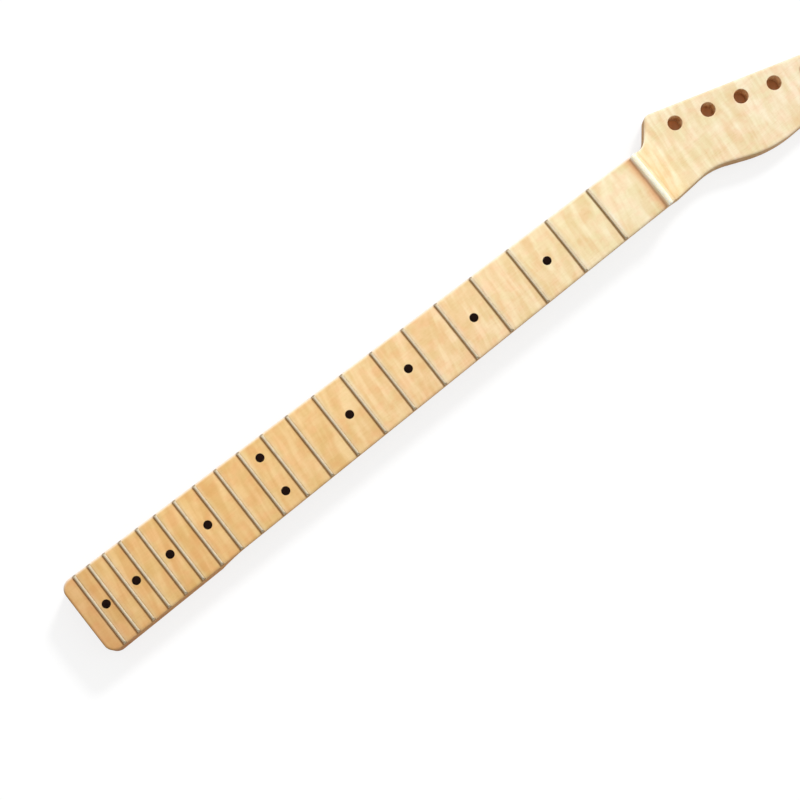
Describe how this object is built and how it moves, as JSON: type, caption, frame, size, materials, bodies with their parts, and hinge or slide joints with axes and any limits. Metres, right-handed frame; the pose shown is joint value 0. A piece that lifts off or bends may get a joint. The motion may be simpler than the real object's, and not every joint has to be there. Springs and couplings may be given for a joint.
{
  "type": "electric guitar neck",
  "caption": "Bolt-on electric guitar neck in one piece of maple, with frets, nut, position dots, back stripe, truss rod and an in-line headstock bored for tuners.",
  "frame": {"origin": "middle of the heel's flat back, on the neck's centre line, where the neck seats in a body's pocket (mount heel_back)", "axes": "+X along the centre line from the heel to the headstock, +Y to the bass side, +Z square out of the fingerboard"},
  "size_m": [0.6544, 0.0693, 0.0277],
  "materials": {
    "maple": "glossy tinted lacquer over flamed maple",
    "walnut": "dark wood under the same lacquer",
    "nut_plastic": "bone-coloured, smooth",
    "fret_metal": "polished nickel silver",
    "dot_plastic": "near-black, flush",
    "steel": "plain steel"
  },
  "bodies": {
    "neck": {"neck": "maple", "back_stripe": "walnut", "nut": "nut_plastic", "fret_01": "fret_metal", "fret_02": "fret_metal", "fret_03": "fret_metal", "fret_04": "fret_metal", "fret_05": "fret_metal", "fret_06": "fret_metal", "fret_07": "fret_metal", "fret_08": "fret_metal", "fret_09": "fret_metal", "fret_10": "fret_metal", "fret_11": "fret_metal", "fret_12": "fret_metal", "fret_13": "fret_metal", "fret_14": "fret_metal", "fret_15": "fret_metal", "fret_16": "fret_metal", "fret_17": "fret_metal", "fret_18": "fret_metal", "fret_19": "fret_metal", "fret_20": "fret_metal", "fret_21": "fret_metal", "dot_03": "dot_plastic", "dot_05": "dot_plastic", "dot_07": "dot_plastic", "dot_09": "dot_plastic", "dot_12_bass": "dot_plastic", "dot_12_treble": "dot_plastic", "dot_15": "dot_plastic", "dot_17": "dot_plastic", "dot_19": "dot_plastic", "dot_21": "dot_plastic", "side_dot_03": "dot_plastic", "side_dot_05": "dot_plastic", "side_dot_07": "dot_plastic", "side_dot_09": "dot_plastic", "side_dot_12_low": "dot_plastic", "side_dot_12_high": "dot_plastic", "side_dot_15": "dot_plastic", "side_dot_17": "dot_plastic", "side_dot_19": "dot_plastic", "side_dot_21": "dot_plastic", "truss_rod": "steel", "truss_rod_anchor": "steel", "truss_rod_washer": "steel"},
    "adjuster": {"truss_rod_adjuster": "steel"}
  },
  "joints": [
    {"name": "adjuster_turn", "type": "hinge", "parent": "neck", "child": "adjuster", "pos_m": [-0.032, 0, 0.0148], "axis": [1, 0, 0], "range_deg": [-330, 240]}
  ]
}
